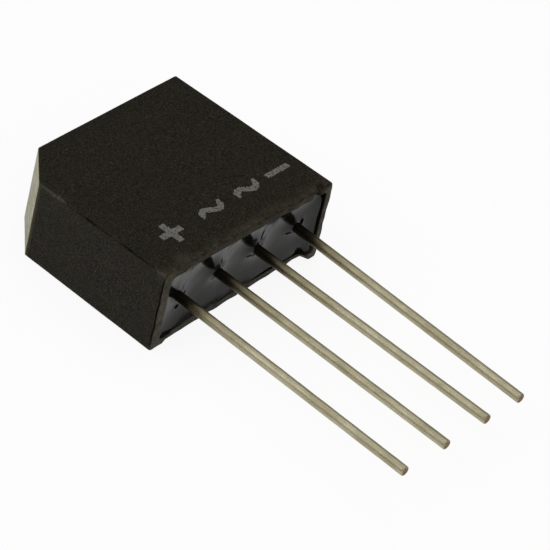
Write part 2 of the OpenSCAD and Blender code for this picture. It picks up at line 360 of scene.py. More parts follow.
def tinned_wire():
    """Dull warm tin over copper: mottled along the wire, and darkened towards the body by painted shade and
    a painted reflection of the dark case.
    """
    f = Finish("tinned_wire")
    along = f.stretched(1.0, 0.3, 1.0)
    cloud = f.noise(0.7, 3, 0.6, along)
    base = f.mix(f.ramp(cloud, (0.35, 0.0), (0.65, 1.0)), (0.41, 0.37, 0.235), (0.53, 0.49, 0.345))
    fleck = f.ramp(f.noise(0.13, 3, 0.7, along), (0.5, 0.0), (0.72, 1.0))
    base = f.mix(f.math("MULTIPLY", fleck, 0.35), base, (0.26, 0.215, 0.115))
    # Painted shade and reflection: two bands darken the wire towards the body, where it reflects the dark
    # case; their start wanders a little along the wire.
    wander = f.math("MULTIPLY", f.math("SUBTRACT", f.noise(0.5, 4, 0.65, along), 0.5), 2.5 * MM)
    place = f.math("ADD", f.axis("Y"), wander)
    faint = (7.0, 2.0, 0.55, (0.20, 0.165, 0.085))
    strong = (2.9, 0.6, 0.96, (0.020, 0.016, 0.009))
    for reach, stop, depth, colour in (faint, strong):
        body_shade = f.nodes.new("ShaderNodeMapRange")
        body_shade.interpolation_type = "SMOOTHSTEP"
        f.fill(body_shade, {"Value": place, "From_Min": (SEAT_Y - reach) * MM, "From_Max": (SEAT_Y - stop) * MM})
        base = f.mix(f.math("MULTIPLY", body_shade.outputs[0], depth), base, colour)
    rough = f.ramp(f.noise(0.3, 4, 0.6, along), (0.3, 0.38), (0.7, 0.56))
    dents = f.bump(f.noise(0.3, 3, 0.6, along), 0.012, 0.3)
    f.shader(Base_Color=base, Metallic=0.9, Roughness=rough, Normal=dents)
    return f.material


def cut_copper():
    """The sheared end of a lead: dull brown copper with shear marks."""
    f = Finish("cut_copper")
    base = f.mix(f.noise(0.16, 3, 0.6), (0.09, 0.045, 0.02), (0.33, 0.20, 0.11))
    marks = f.bump(f.noise(0.05, 2, 0.5, f.stretched(1.0, 1.0, 0.2)), 0.02, 0.7)
    f.shader(Base_Color=base, Metallic=0.8, Roughness=0.5, Normal=marks)
    return f.material


def pad_print():
    """Thin grey ink with the plastic's grain showing through it."""
    f = Finish("pad_print")
    base = f.mix(f.noise(0.5, 2, 0.5), (0.125, 0.12, 0.105), (0.185, 0.18, 0.165))
    base = f.mix(f.ramp(f.noise(0.08, 3, 0.7), (0.46, 0.0), (0.62, 0.9)), base, (0.24, 0.235, 0.215))
    base = f.mix(f.ramp(f.noise(0.1, 2, 0.6), (0.56, 0.0), (0.66, 0.9)), base, (0.028, 0.026, 0.021))
    grain = f.bump(f.noise(0.06, 3, 0.7), 0.014, 0.5)
    f.shader(Base_Color=base, Roughness=0.75, IOR=1.4, Normal=grain)
    return f.material


def metal(name, dark, light, grain_mm, low, high):
    """A plain worked metal whose colour and polish vary at one grain."""
    f = Finish(name)
    base = f.mix(f.noise(grain_mm, 4, 0.6), dark, light)
    rough = f.ramp(f.noise(grain_mm * 0.6, 3, 0.6), (0.3, low), (0.7, high))
    grain = f.bump(f.noise(grain_mm * 0.4, 3, 0.6), 0.01, 0.5)
    f.shader(Base_Color=base, Metallic=1.0, Roughness=rough, Normal=grain)
    return f.material


def floor_paper():
    """White to the camera and in reflections, with the object's soft shadow; plain paper to other light."""
    f = Finish("floor_paper")
    path = f.nodes.new("ShaderNodeLightPath")
    reflected = f.math("MAXIMUM", path.outputs["Is Glossy Ray"], path.outputs["Is Transmission Ray"])

    def paper(colour, glow):
        shade, light = f.nodes.new("ShaderNodeBsdfDiffuse"), f.nodes.new("ShaderNodeEmission")
        f.fill(shade, {"Color": (colour, colour, colour, 1)})
        f.fill(light, {"Color": (1, 1, 1, 1), "Strength": glow})
        both = f.nodes.new("ShaderNodeAddShader")
        f.links.new(shade.outputs[0], both.inputs[0])
        f.links.new(light.outputs[0], both.inputs[1])
        return both.outputs[0]

    def choose(factor, first, second):
        pick = f.nodes.new("ShaderNodeMixShader")
        for socket, value in zip(pick.inputs, (factor, first, second)):
            f.links.new(value, socket)
        return pick.outputs[0]

    lit = choose(reflected, paper(0.8, 0.0), paper(0.5, 0.58))
    f.links.new(choose(path.outputs["Is Camera Ray"], lit, paper(0.12, 0.9)), f.output.inputs["Surface"])
    return f.material


# ---- Case ----

# Rows of points along the wall and along the cut corner, up the sides, and round each edge
WALL_ROWS = 44
CUT_ROWS = 12
SIDE_LEVELS = 22
ARC_STEPS = 8
# The outer edges are a little sharper than the CAD's
EDGE_R = 0.12
RIM_R = 0.16
INSIDE_R = 0.07
PLUS_POCKET_R = 0.5
POCKET_CORNER_R = 0.25
# The negative end wall thins towards its rim, by this much from this depth
THIN_RIM = 0.28
THIN_DEPTH = 0.45
PLUS_RIM_X = PLUS_FOOT_W - HALF_W
MINUS_RIM_X = HALF_W - MINUS_FOOT_W
# How far the steps of the rim reach up the long faces, and how much the walls sink between their edges
STEP_FADE = 1.6
SINK = 0.006
# Shares of the way across the case, closer together by the ends of the rim
ACROSS = np.unique(np.concatenate([
    np.linspace(0, 1, 57), np.linspace(0.03, 0.09, 9), np.linspace(0.88, 0.99, 19),
]).round(4))
COLUMNS = len(ACROSS) - 1


def rim_rise(x, front):
    """How far a long wall's rim stays behind the seating plane at x."""
    middle = smooth_step(0, 0.35, x - PLUS_RIM_X) * smooth_step(0, 0.3, MINUS_RIM_X - x)
    if not front:
        along = (x - PLUS_RIM_X) / (MINUS_RIM_X - PLUS_RIM_X)
        return middle * (BACK_STEP_PLUS + (BACK_STEP_MINUS - BACK_STEP_PLUS) * along)
    nick = smooth_step(0, 0.12, MINUS_RIM_X + 0.05 - x) * smooth_step(NICK_W, 0.45, MINUS_RIM_X - x)
    return np.maximum(middle * FRONT_STEP * smooth_step(6.0, 2.0, x), (NICK_H - 0.02) * nick)


def case_outline():
    """The marked face's outline, inset by the edge radius: its rows' heights and four corners."""
    cut = CORNER_CUT - 2 * EDGE_R * CORNER_SQUEEZE
    top = TOP_Y - EDGE_R
    cut_y = top - cut
    start = SEAT_Y + RIM_R
    wall = np.linspace(0, 1, WALL_ROWS + 1)
    wall = start + (cut_y - start) * wall
    rows = np.concatenate([wall, np.linspace(cut_y, top, CUT_ROWS + 1)[1:]])
    left = -half_w(rows, EDGE_R)
    left = np.where(rows > cut_y, -half_w(cut_y, EDGE_R) + (rows - cut_y), left)
    return rows, left, half_w(rows, EDGE_R)


def face_grid(rows, left, right, height, front):
    """A long face as rows of points; the rows by the rim follow its steps."""
    x = left[:, None] + (right - left)[:, None] * ACROSS
    fade = np.clip(1 - (rows - rows[0]) / STEP_FADE, 0, 1)[:, None]
    y = rows[:, None] + rim_rise(x, front) * fade
    return np.stack([x, y, height(y) + 0 * x], -1)


def side_strip(rows, left, right):
    """The walls round the outline, from the left foot over the closed end to the right foot."""
    cut = np.array([-1, 1]) * math.sqrt(0.5)
    places, normals = [], []

    def run(xs, ys, normal):
        for x, y in zip(xs, ys):
            places.append((x, y))
            normals.append(normal)

    def turn(x, y, first, last):
        for step in np.linspace(0, 1, ARC_STEPS + 1)[1:-1]:
            angle = math.atan2(first[1], first[0])
            swing = (math.atan2(last[1], last[0]) - angle + math.pi) % (2 * math.pi) - math.pi
            places.append((x, y))
            normals.append(np.array([math.cos(angle + swing * step), math.sin(angle + swing * step)]))

    west, north, east = np.array([-1, 0]), np.array([0, 1]), np.array([1, 0])
    run(left[:WALL_ROWS + 1], rows[:WALL_ROWS + 1], west)
    turn(left[WALL_ROWS], rows[WALL_ROWS], west, cut)
    run(left[WALL_ROWS:], rows[WALL_ROWS:], cut)
    turn(left[-1], rows[-1], cut, north)
    run(left[-1] + (right[-1] - left[-1]) * ACROSS, [rows[-1]] * (COLUMNS + 1), north)
    turn(right[-1], rows[-1], north, east)
    run(right[::-1], rows[::-1], east)
    places, normals = np.array(places), np.array(normals)
    arc = np.linspace(0, math.pi / 2, ARC_STEPS + 1)
    reach = np.concatenate([np.sin(arc), np.ones(SIDE_LEVELS - 1), np.sin(arc[::-1])])
    low = EDGE_R * (1 - np.cos(arc))
    top = front_z(places[:, 1])
    columns = []
    for (x, y), (nx, ny), z_top in zip(places, normals, top):
        levels = np.concatenate([
            low,
            np.linspace(EDGE_R, z_top - EDGE_R, SIDE_LEVELS + 1)[1:-1],
            z_top - low[::-1],
        ])
        columns.append(np.stack([x + nx * EDGE_R * reach, y + ny * EDGE_R * reach, levels], -1))
    return np.array(columns)


def pocket_ring(y):
    """The pocket's section at a height y, in the same order and number of points as the rim's ring."""
    right = half_w(y, END_WALL)
    left = -right + max(0.0, y - POCKET_CUT_Y)
    right += THIN_RIM * smooth_step(SEAT_Y + THIN_DEPTH, SEAT_Y, y)
    low, high = LONG_WALL, front_z(y, LONG_WALL)
    arc = np.linspace(0, math.pi / 2, ARC_STEPS + 1)
    wide, tight = PLUS_POCKET_R, POCKET_CORNER_R
    front = left + wide + (right - left - wide - tight) * ACROSS
    back = left + tight + (right - left - 2 * tight) * ACROSS
    down_right = np.linspace(high - tight, low + tight, SIDE_LEVELS + 1)[1:-1]
    down_left = np.linspace(high - wide, low + tight, SIDE_LEVELS + 1)[1:-1]
    far, near = 1 - np.sin(arc), 1 - np.cos(arc)
    x = np.concatenate([
        front[:-1], right - tight * far, np.full(len(down_right), right),
        right - tight * near, back[::-1][1:-1],
        left + tight * far, np.full(len(down_left), left), (left + wide * near)[:-1],
    ])
    z = np.concatenate([
        np.full(COLUMNS, high), high - tight * near, down_right,
        low + tight * far, np.full(COLUMNS - 1, low),
        low + tight * near, down_left[::-1], (high - wide * far)[:-1],
    ])
    return np.stack([x, z], -1)


def rim_profiles():
    """Inset and height of the outer edge along the long walls, rounded, and along the ends, grooved."""
    arc = np.linspace(0, math.pi / 2, 10)
    rounded = np.stack([RIM_R * (1 - np.cos(arc)), RIM_R * (1 - np.sin(arc))], -1)
    grooved = np.array([
        (0.0, 0.30), (0.0, 0.20), (0.0, 0.15), (0.05, 0.115), (0.065, 0.09),
        (0.05, 0.06), (0.0, 0.035), (0.012, 0.012), (0.04, 0.0), (0.10, 0.0),
    ])
    return rounded, grooved


def rim_and_pocket(surface, front, back, strip):
    """Joins the outside to the pocket over the rim, and closes the pocket's end."""
    ring = np.concatenate([front[0, :-1], strip[-1, ::-1], back[0, ::-1][1:-1], strip[0, :-1]])
    outer, top = ring[:, [0, 2]], ring[:, 1] - RIM_R
    inner = pocket_ring(SEAT_Y)
    way = inner - outer
    length = np.linalg.norm(way, axis=1, keepdims=True)
    way /= length
    ends = smooth_step(0.2, 0.5, np.abs(outer[:, :1]) - half_w(SEAT_Y, 0.65))
    ends *= smooth_step(0.0, 0.35, outer[:, 1:] - 0.1) * smooth_step(0.0, 0.35, BODY_T - 0.1 - outer[:, 1:])
    uneven = 0.03 * ripple(outer, 1.2, 3)
    rings = []

    def add(inset, height):
        places = outer + way * inset
        rings.append(np.stack([places[:, 0], top + uneven * (RIM_R - height[:, 0]) / RIM_R + height[:, 0],
                               places[:, 1]], -1))

    rounded, grooved = rim_profiles()
    for (round_in, round_up), (groove_in, groove_up) in zip(rounded, grooved):
        inset = round_in + (groove_in - round_in) * ends
        add(inset, round_up + (groove_up - round_up) * ends)
    for share in (0.25, 0.5, 0.75, 1.0):
        add(RIM_R + (length - INSIDE_R - RIM_R) * share, np.zeros_like(length))
    for angle in np.linspace(0, math.pi / 2, 5)[1:]:
        height = np.full_like(length, INSIDE_R * (1 - math.cos(angle)))
        add(length - INSIDE_R * (1 - math.sin(angle)), height)
    for y in (SEAT_Y + THIN_DEPTH, LEVEL_Y, LEVEL_Y + 1, POCKET_CUT_Y, TOP_Y - ROOF):
        places = pocket_ring(y)
        rings.append(np.stack([places[:, 0], np.full(len(places), y), places[:, 1]], -1))
    surface.patch(np.array(rings), closed=True)
    surface.cap(rings[-1])


# ---- Wear, stains and painted light and shade on the case: fields over its points ----

def near_ends(p):
    """1 on the end walls' rims, 0 between them."""
    return smooth_step(half_w(SEAT_Y, 1.0), half_w(SEAT_Y, 0.9), np.abs(p[:, 0]))


def left_edge(p):
    """Distance from the long edge between the marked face and the left side."""
    return np.hypot(p[:, 0] + half_w(p[:, 1]), p[:, 2] - front_z(p[:, 1]))


def wear_and_highlight_edges(p):
    """Pale parts of the marked face's left edge: wear by the cut corner and by the open end, and a faint
    painted highlight all along it.
    """
    height = p[:, 1] - SEAT_Y
    pale_edge = np.maximum(smooth_step(8.6, 9.3, height), 0.8 * smooth_step(1.1, 0.7, height))
    # A faint painted highlight along the whole edge.
    pale_edge = np.maximum(pale_edge, 0.25 * smooth_step(-0.2, 0.6, ripple(p, 1.1, 8)))
    return pale_edge * smooth_step(0.15, 0.07, left_edge(p)) * (height > 0.1)


def smudge_and_end_rim_light(p):
    """Where the case is coloured brown: a smudged band on the marked face by its rim, and painted light on
    the rims of the end walls.
    """
    height = p[:, 1] - SEAT_Y
    band = smooth_step(1.0, 0.1, height + 0.3 * ripple(p[:, :2], 2.2, 5))
    band *= smooth_step(BODY_T - 0.9, BODY_T - 0.4, p[:, 2])
    # The end walls' rims: painted light.
    return np.maximum(band, smooth_step(0.12, 0.05, height) * near_ends(p))


def shade_and_seam_mask(p):
    """Painted shade in the groove round the end walls' rims and on the pocket's bare walls, and a dark line
    along the left edge.
    """
    height = p[:, 1] - SEAT_Y
    slack = 0.01
    # Painted shade in the groove round the end walls' rims.
    groove = smooth_step(0.07, 0.035, np.abs(height - 0.085 - 0.035 * ripple(p[:, 2:], 1.6, 15)))
    groove *= smooth_step(0.1, 1.0, p[:, 2]) * smooth_step(BODY_T - 0.1, BODY_T - 0.7, p[:, 2])
    groove *= smooth_step(half_w(SEAT_Y, 0.12), half_w(SEAT_Y, 0.03), np.abs(p[:, 0]))
    # Painted shade on the pocket's bare inner walls.
    inside = smooth_step(0.02, 0.06, height) * smooth_step(0.7, 1.3, p[:, 2])
    inside *= np.abs(p[:, 0]) < half_w(SEAT_Y, END_WALL - THIN_RIM - 2 * slack)
    inside *= (p[:, 2] > LONG_WALL - slack) & (p[:, 2] < front_z(p[:, 1], LONG_WALL - slack))
    # A dark line along the left edge.
    seam = smooth_step(8.9, 7.2, height) * smooth_step(0.9, 1.4, height)
    seam *= smooth_step(0.13, 0.08, left_edge(p))
    seam *= 0.5 + 0.4 * np.clip(ripple(p, 0.9, 9), -1, 1)
    return np.maximum(np.maximum(groove, 0.85 * inside), seam)


def painted_rim_light_mask(p):
    """Painted light on the rims of the end walls and the back, lightened where their faces catch the light.
    """
    height = p[:, 1] - SEAT_Y
    ends = smooth_step(0.03, 0.012, height) * near_ends(p)
    back = smooth_step(0.16, 0.04, height - rim_rise(p[:, 0], False)) * (p[:, 2] < LONG_WALL)
    return np.maximum(ends, 0.6 * back)


def cut_polish(p):
    """The smooth face of the cut corner."""
    depth = (p[:, 0] + half_w(TOP_Y) - p[:, 1] + TOP_Y - CORNER_CUT) * math.sqrt(0.5)
    return smooth_step(0.12, 0.03, depth)


def make_case(material):
    rows, left, right = case_outline()
    front = face_grid(rows, left, right, front_z, True)
    back = face_grid(rows, left, right, lambda y: 0 * y, False)
    strip = side_strip(rows, left, right)
    surface = Surface()
    surface.patch(front)
    surface.patch(back)
    surface.patch(strip)
    rim_and_pocket(surface, front, back, strip)
    for points in surface.points:
        hollow = SINK * (1 + np.clip(ripple(points, 3.5, 1), -1, 1))
        centre = np.array([0, 0, BODY_T / 2])
        points -= hollow[:, None] * np.sign(points - centre) * 0.6
    fields = {
        "edge": wear_and_highlight_edges, "smudge_and_rim_light": smudge_and_end_rim_light, "painted_shade_and_seam": shade_and_seam_mask,
        "painted_rim_light": painted_rim_light_mask, "polish": cut_polish,
    }
    return surface.build("case", [material], ["case_shell"], fields)


# ---- Potting ----

# The height field's spacing and steps, and the mesh's points along and across the pocket
CELL = 0.05
RELAX_STEPS = 4000
EPOXY_COLUMNS = 421
EPOXY_ROWS = 151
EPOXY_MARGIN = 0.004
# How far a wall lifts the epoxy, its depth away from the walls, and how much deeper it is by the back
CREEP = 2.0
CALM_DEPTH = 1.6
CALM_DROP = 0.45
# Depths at which the epoxy meets the walls and leads, and its reach into the thinned negative end
FRONT_CONTACT = 0.38
BACK_MARGIN = 0.05
PLUS_CONTACT = 0.3
MINUS_CONTACT = 0.17
LEAD_CONTACT = 0.6
MINUS_REACH = 0.18


def lead_line(name):
    """Where a lead's axis crosses the seating plane, and its direction out of the case."""
    pin = PINS[name.replace("lead", "pin")]
    place = np.array(pin["pos_m"]) / MM
    return place, np.array(pin["axis"])


def pocket_sides(z, low, high, right):
    """The pocket's left and right sides at z, with its rounded corners."""

    def squeeze(front_r, back_r):
        front = np.clip(front_r - (high - z), 0, front_r)
        back = np.clip(back_r - (z - low), 0, back_r)
        return front_r - np.sqrt(front_r ** 2 - front ** 2) + back_r - np.sqrt(back_r ** 2 - back ** 2)

    left = squeeze(PLUS_POCKET_R, POCKET_CORNER_R) - right
    return left, right + MINUS_REACH - squeeze(POCKET_CORNER_R, POCKET_CORNER_R)


def epoxy_rise():
    """The epoxy's height over its calm level: it climbs the walls and leads and sags between them."""
    right, low, high = half_w(LEVEL_Y, END_WALL), LONG_WALL, front_z(LEVEL_Y, LONG_WALL)
    xs = np.arange(-right - CELL, right + MINUS_REACH + 2 * CELL, CELL)
    zs = np.arange(low - CELL, high + 2 * CELL, CELL)
    x, z = np.meshgrid(xs, zs, indexing="ij")
    spots = np.stack([x, z], -1)
    left_side, right_side = pocket_sides(z, low, high, right)
    fixed = (x <= left_side) | (x >= right_side) | (z <= low) | (z >= high)
    frontward = smooth_step(low, high, z)
    back_contact = rim_rise(x, False) + BACK_MARGIN
    contact = back_contact + (FRONT_CONTACT - back_contact) * frontward
    for end, depth in ((-x, PLUS_CONTACT), (x, MINUS_CONTACT)):
        near = smooth_step(right - 0.6, right, end) * smooth_step(high, high - 0.8, z)
        contact = contact + (depth - contact) * near
    calm = CALM_DEPTH + CALM_DROP * (high - z) / (high - low)
    rise = np.where(fixed, calm - contact + 0.05 * ripple(spots, 2.6, 11), 0.0)
    for k, name in enumerate(LEADS):
        place, _ = lead_line(name)
        wire = np.hypot(x - place[0], z - place[2]) <= LEAD_R
        fixed |= wire
        rise = np.where(wire, calm - LEAD_CONTACT + 0.06 * ripple(spots, 0.8, 20 + k), rise)
    held = rise.copy()
    pull = 4 + (CELL / CREEP) ** 2
    for _ in range(RELAX_STEPS):
        around = np.zeros_like(rise)
        around[1:-1, 1:-1] = rise[2:, 1:-1] + rise[:-2, 1:-1] + rise[1:-1, 2:] + rise[1:-1, :-2]
        rise = np.where(fixed, held, around / pull)
    return xs, zs, rise + CALM_DEPTH - calm


def sample(xs, zs, field, x, z):
    """The field between its grid's points."""
    i = np.clip((x - xs[0]) / CELL, 0, len(xs) - 1.001)
    k = np.clip((z - zs[0]) / CELL, 0, len(zs) - 1.001)
    i0, k0 = i.astype(int), k.astype(int)
    a, b = i - i0, k - k0
    return ((field[i0, k0] * (1 - a) + field[i0 + 1, k0] * a) * (1 - b)
            + (field[i0, k0 + 1] * (1 - a) + field[i0 + 1, k0 + 1] * a) * b)


# Small open bubbles in the epoxy: the lead that each is by, its place from it, and its length, width,
# depth and turn in degrees
BUBBLES = (
    ("lead_minus", 0.46, 0.30, 0.52, 0.20, 0.30, 7),
    ("lead_minus", -0.45, -0.40, 0.46, 0.15, 0.22, 84),
    ("lead_ac_2", 0.57, 0.78, 0.72, 0.13, 0.25, 19),
    ("lead_ac_2", -0.12, 0.70, 0.20, 0.18, 0.20, 0),
    ("lead_ac_2", -0.34, -0.50, 0.50, 0.15, 0.22, 78),
    ("lead_ac_1", 0.45, 0.55, 0.30, 0.13, 0.20, 15),
    ("lead_plus", 0.42, -1.30, 0.42, 0.22, 0.22, 84),
    ("lead_plus", 1.15, -0.57, 0.20, 0.18, 0.18, 0),
)


def bubble_depth(x, z):
    """How deep the open bubbles are at a place; each has a slightly raised lip."""
    depth = np.zeros_like(x)
    for name, dx, dz, long, wide, deep, turn in BUBBLES:
        place, _ = lead_line(name)
        u, v = x - place[0] - dx, z - place[2] - dz
        c, s = math.cos(math.radians(turn)), math.sin(math.radians(turn))
        reach = np.hypot((u * s + v * c) / (long / 2), (u * c - v * s) / (wide / 2))
        depth += 0.5 * deep * smooth_step(1.2, 0.3, reach) - 0.02 * np.exp(-((reach - 1.5) / 0.3) ** 2)
    return depth


def open_pits(p):
    """Inside the open bubbles, 0 to 1, where their shade is painted."""
    return np.clip(bubble_depth(p[:, 0], p[:, 2]) / 0.05, 0, 1) * (p[:, 1] < LEVEL_Y + 1)


def make_potting(material):
    xs, zs, rise = epoxy_rise()
    right = half_w(LEVEL_Y, END_WALL) - EPOXY_MARGIN
    low, high = LONG_WALL + EPOXY_MARGIN, front_z(LEVEL_Y, LONG_WALL) - EPOXY_MARGIN
    across = low + (high - low) * np.linspace(0, 1, EPOXY_ROWS)
    left_side, right_side = pocket_sides(across, low, high, right)
    x = left_side + (right_side - left_side) * np.linspace(0, 1, EPOXY_COLUMNS)[:, None]
    z = np.broadcast_to(across, x.shape)
    height = sample(xs, zs, rise, x, z) - bubble_depth(x, z)
    height = height + 0.006 * ripple(np.stack([x, z], -1), 1.4, 31)
    top = np.stack([x, SEAT_Y + CALM_DEPTH - height, z], -1)
    surface = Surface()
    surface.patch(top)
    edge = np.concatenate([top[:-1, 0], top[-1, :-1], top[1:, -1][::-1], top[0, 1:][::-1]])
    under = edge.copy()
    under[:, 0] = np.minimum(edge[:, 0], right)
    under[:, 1] = np.maximum(edge[:, 1] + 0.02, SEAT_Y + THIN_DEPTH)
    rings = [edge, under]
    for y in (POCKET_CUT_Y, TOP_Y - ROOF - EPOXY_MARGIN):
        ring = edge.copy()
        side = half_w(y, END_WALL + EPOXY_MARGIN)
        ring[:, 0] = np.clip(edge[:, 0], -side + max(0, y - POCKET_CUT_Y), side)
        ring[:, 2] = np.minimum(edge[:, 2], front_z(y, LONG_WALL + EPOXY_MARGIN))
        ring[:, 1] = y
        rings.append(ring)
    surface.patch(np.array(rings), closed=True)
    surface.cap(rings[-1])
    return surface.build("potting", [material], ["potting_compound"], {"pit_shade": open_pits})


# ---- Leads ----

RING_POINTS = 72
WIRE_RINGS = 130
WIRE_Y = LEVEL_Y + WIRE_COVER
# Room in the lead's length for the ragged face of its sheared end
SHEAR_ROOM = 0.07
# A section's power: 1 is round, towards 0 is square
ROUND, SQUARE = 1.0, 0.25


def lead_sections(tip_y, pads):
    """Sections of a lead from its cut end inwards: height, half width, half thickness and power."""
    strip, thin, wide = STRIP_W / 2, STRIP_T / 2, PAD_W / 2
    wire = np.linspace(tip_y + SHEAR_ROOM, WIRE_Y - 0.4, WIRE_RINGS)
    sections = [(y, LEAD_R, LEAD_R, ROUND) for y in wire]
    for share in np.linspace(0, 1, 6):
        ease = smooth_step(0, 1, share)
        sections.append((WIRE_Y + 0.5 * share, LEAD_R + (strip - LEAD_R) * ease,
                         LEAD_R + (thin - LEAD_R) * ease, ROUND + (SQUARE - ROUND) * ease))

    def pad_corner(y, way, angles):
        for angle in angles:
            half = wide - PAD_R * (1 - math.sin(angle))
            sections.append((y + way * PAD_R * (1 - math.cos(angle)), half, thin, SQUARE))

    arc = np.linspace(0, math.pi / 2, 7)
    for number, centre in enumerate(pads):
        start, stop = centre - PAD_L / 2, centre + PAD_L / 2
        before = sections[-1][0]
        sections.append((start - 0.002 if start > before else before + 0.01, strip, thin, SQUARE))
        pad_corner(start, 1, arc)
        pad_corner(stop, -1, arc[::-1])
        if number < len(pads) - 1:
            sections.append((stop + 0.002, strip, thin, SQUARE))
    return sections


def make_lead(name, pads, wire, copper):
    """Round wire outside, coined strip and pads inside, as one lofted surface with a sheared end."""
    root, direction = lead_line(name)
    lean = direction[0] / -direction[1]
    seed = LEADS.index(name)
    angles = np.linspace(0, 2 * math.pi, RING_POINTS, endpoint=False)
    cos, sin = np.cos(angles), np.sin(angles)
    rings = []
    for y, wide, thick, power in lead_sections(box_mm(name)[0][1], pads):
        centre_x = root[0] + (SEAT_Y - min(y, WIRE_Y)) * lean
        x = wide * np.sign(cos) * np.abs(cos) ** power
        z = thick * np.sign(sin) * np.abs(sin) ** power
        if power == ROUND:
            spots = np.stack([cos * LEAD_R, np.full_like(cos, y), sin * LEAD_R], -1)
            shrink = 1 - 0.012 * (1 + ripple(spots, 1.1, 40 + seed))
            x, z = x * shrink, z * shrink
        rings.append(np.stack([centre_x + x, np.full_like(x, y), root[2] + z], -1))
    tip = rings[0].copy()
    centre = tip.mean(axis=0)
    surface = Surface()
    surface.patch(np.array(rings), closed=True)
    last = rings[0]
    for share, drop in ((0.93, 0.035), (0.84, 0.05)):
        ring = centre + (tip - centre) * share
        ring[:, 1] = tip[:, 1] - drop
        surface.patch(np.array([last, ring]), closed=True)
        last = ring
    for share in (0.6, 0.3, 0.05):
        ring = centre + (tip - centre) * share
        ring[:, 1] = tip[:, 1] - 0.05 + 0.012 * ripple(ring[:, [0, 2]], 0.35, 60 + seed)
        surface.patch(np.array([last, ring]), closed=True, slot=1)
        last = ring
    surface.cap(last, slot=1)
    surface.cap(rings[-1])
    return surface.build(name.replace("lead", "wire"), [wire, copper], [name])


# ---- Marks ----

STROKE = 0.5
MARK_HALF = 0.96
INK_THICK = 0.010
INK_SUNK = 0.02
# The fields' grid: its spacing and its reach each way from a sign's middle
MARK_CELL = 0.03
MARK_REACH = 1.35
# The signs' row: its height at the middle of the case, and its climb towards the negative end
MARK_Y = SEAT_Y + 2.93
ROW_SLOPE = 0.024


def distance_to_path(x, y, path):
    """Distance from points to a broken line."""
    best = np.full(x.shape, 1e9)
    for (ax, ay), (bx, by) in zip(path[:-1], path[1:]):
        dx, dy = bx - ax, by - ay
        t = np.clip(((x - ax) * dx + (y - ay) * dy) / (dx * dx + dy * dy), 0, 1)
        best = np.minimum(best, np.hypot(x - ax - t * dx, y - ay - t * dy))
    return best


def bar(x, y, half_l, half_t):
    """Signed distance to a bar with softened corners."""
    soft = 0.1
    over = np.abs(x) - half_l + soft, np.abs(y) - half_t + soft
    outside = np.hypot(np.maximum(over[0], 0), np.maximum(over[1], 0))
    return outside + np.minimum(np.maximum(*over), 0) - soft


def plus_sign(x, y):
    return np.minimum(bar(x, y, MARK_HALF, STROKE / 2), bar(y, x, MARK_HALF, STROKE / 2))


def minus_sign(x, y):
    return bar(x, y, 1.07, 0.44 / 2)


def wave_sign(x, y):
    """One wave as a brush stroke: up from its left end, over a crest, through a trough and up to a tip."""
    t = np.linspace(0, 1, 14)
    climb = np.stack([-1.06 + 0.5 * t, -0.2 + 0.37 * np.sin(t * math.pi / 2)], -1)
    fall = np.stack([-0.56 + 1.04 * t, 0.17 - 0.42 * smooth_step(0, 1, t)], -1)
    tip = np.stack([0.48 + 0.56 * t, -0.25 + 0.5 * (1 - np.cos(t * math.pi / 2))], -1)
    stroke = distance_to_path(x, y, np.concatenate([climb, fall[1:], tip[1:]])) - 0.46 / 2
    return np.maximum(stroke, np.abs(x) - 1.13)


def mark_cells(inside):
    """Corner values to polygons: cuts each grid cell where the sign's edge crosses it."""
    crossings = {}
    corners = {}
    places, faces, border = [], [], []

    def corner(i, j):
        if (i, j) not in corners:
            corners[i, j] = len(places)
            places.append((i, j))
        return corners[i, j]

    def crossing(a, b):
        key = (min(a, b), max(a, b))
        if key not in crossings:
            va, vb = inside[a], inside[b]
            t = va / (va - vb)
            crossings[key] = len(places)
            places.append((a[0] + (b[0] - a[0]) * t, a[1] + (b[1] - a[1]) * t))
        return crossings[key]

    low = np.minimum(inside[:-1], inside[1:])
    low = np.minimum(low[:, :-1], low[:, 1:])
    for i, j in zip(*np.nonzero(low < 0)):
        cell = [(i, j), (i + 1, j), (i + 1, j + 1), (i, j + 1)]
        signs = [inside[c] < 0 for c in cell]
        polygon, cuts = [], []
        for k in range(4):
            a, b = cell[k], cell[(k + 1) % 4]
            if signs[k]:
                polygon.append(corner(*a))
            if signs[k] != signs[(k + 1) % 4]:
                cut = crossing(a, b)
                polygon.append(cut)
                cuts.append((cut, signs[k]))
        if len(cuts) == 4:
            continue
        if len(polygon) > 2:
            faces.append(polygon)
            if cuts:
                leaving = [c for c, out in cuts if out][0]
                entering = [c for c, out in cuts if not out][0]
                border.append((leaving, entering))
    return np.array(places, float), faces, border


def make_mark(name, centre_x, shape, material, seed):
    """One printed sign: a thin skin of ink with ragged edges and pinholes."""
    steps = int(2 * MARK_REACH / MARK_CELL)
    axis = (np.arange(steps + 1) - steps / 2) * MARK_CELL
    x, y = np.meshgrid(axis, axis, indexing="ij")
    spots = np.stack([x, y], -1)
    inside = shape(x, y) + 0.035 * ripple(spots, 0.28, seed, 24) + 0.02 * ripple(spots, 0.12, seed + 1, 24)
    holes = 0.6 - ripple(spots, 0.2, seed + 2, 30)
    inside = np.maximum(inside, -0.25 * holes)
    inside = np.where(np.abs(inside) < 1e-6, 1e-6, inside)
    places, faces, border = mark_cells(inside)
    u = (places[:, 0] - steps / 2) * MARK_CELL + centre_x
    v = (places[:, 1] - steps / 2) * MARK_CELL + MARK_Y + ROW_SLOPE * centre_x
    top = np.stack([u, v, front_z(v) + INK_THICK], -1)
    bottom = np.stack([u, v, front_z(v) - INK_SUNK], -1)
    count = len(places)
    surface = Surface()
    surface.points = [top, bottom]
    surface.faces = faces + [[count + k for k in reversed(face)] for face in faces]
    surface.faces += [[a, b, count + b, count + a] for a, b in border]
    surface.slots = [0] * len(surface.faces)
    return surface.build(name, [material])


